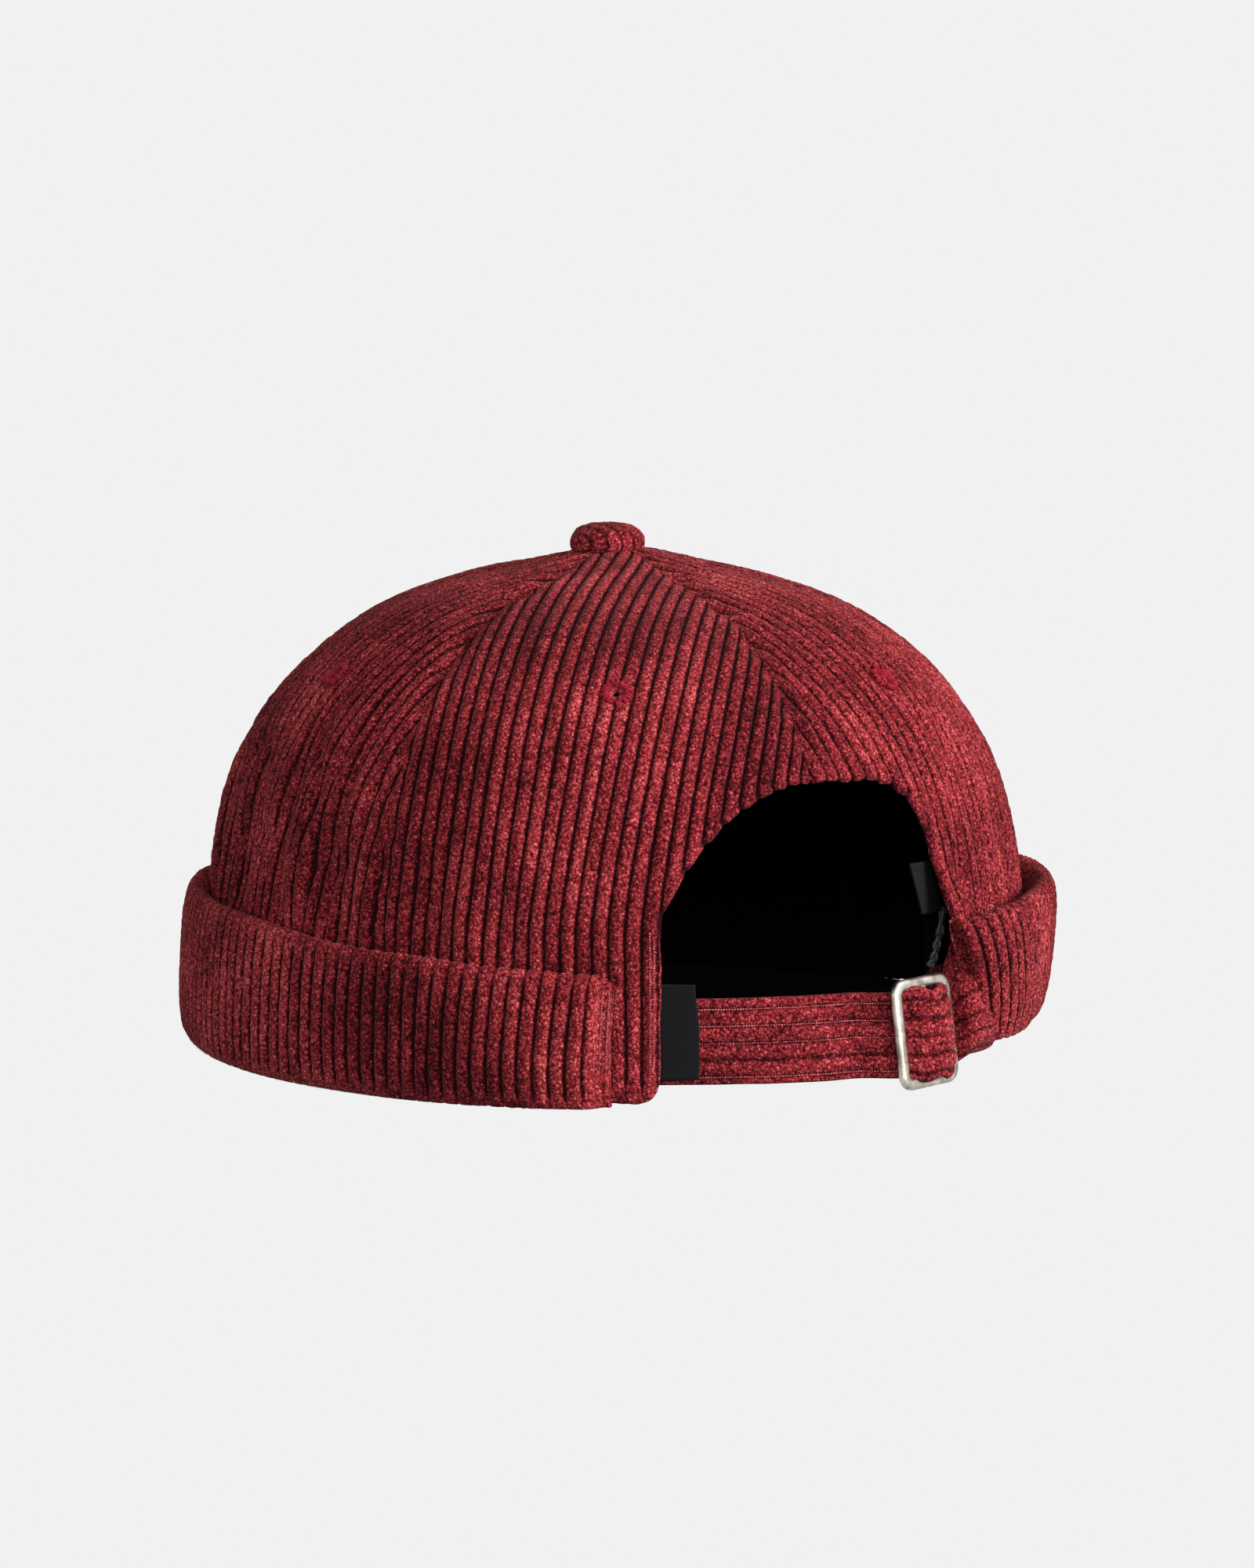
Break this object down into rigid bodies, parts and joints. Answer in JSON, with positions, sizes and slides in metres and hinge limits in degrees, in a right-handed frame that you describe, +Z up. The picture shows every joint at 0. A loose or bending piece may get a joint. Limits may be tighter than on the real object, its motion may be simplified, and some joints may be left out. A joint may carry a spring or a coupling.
{
  "type": "docker cap",
  "caption": "Brimless docker cap in corduroy with a rolled cuff, a button top, vent eyelets and an arched back opening closed by a cloth strap with a metal buckle.",
  "frame": {"origin": "middle of the cap's footprint on the surface its cuff rests on", "axes": "+Z up towards the button, +Y out of the back opening with the buckled strap, +X towards the wearer's left"},
  "size_m": [0.198, 0.2078, 0.1167],
  "materials": {
    "corduroy": "matte ribbed cotton corduroy",
    "eyelet_thread": "satin embroidery thread",
    "buckle_metal": "softly brushed, rounded edges",
    "tab_cloth": "matte cotton",
    "label_twill": "plain woven twill",
    "band_cloth": "matte black band",
    "tag_satin": "dark satin"
  },
  "bodies": {
    "root": {"crown_panel_1": "corduroy", "crown_panel_2": "corduroy", "crown_panel_3": "corduroy", "crown_panel_4": "corduroy", "crown_panel_5": "corduroy", "crown_panel_6": "corduroy", "cuff": "corduroy", "button": "corduroy", "back_strap": "corduroy", "eyelet_1": "eyelet_thread", "eyelet_2": "eyelet_thread", "eyelet_3": "eyelet_thread", "eyelet_4": "eyelet_thread", "eyelet_5": "eyelet_thread", "eyelet_6": "eyelet_thread", "buckle": "buckle_metal", "buckle_tab": "tab_cloth", "label_tab": "label_twill", "sweatband": "band_cloth", "inner_label": "tag_satin"}
  },
  "joints": []
}
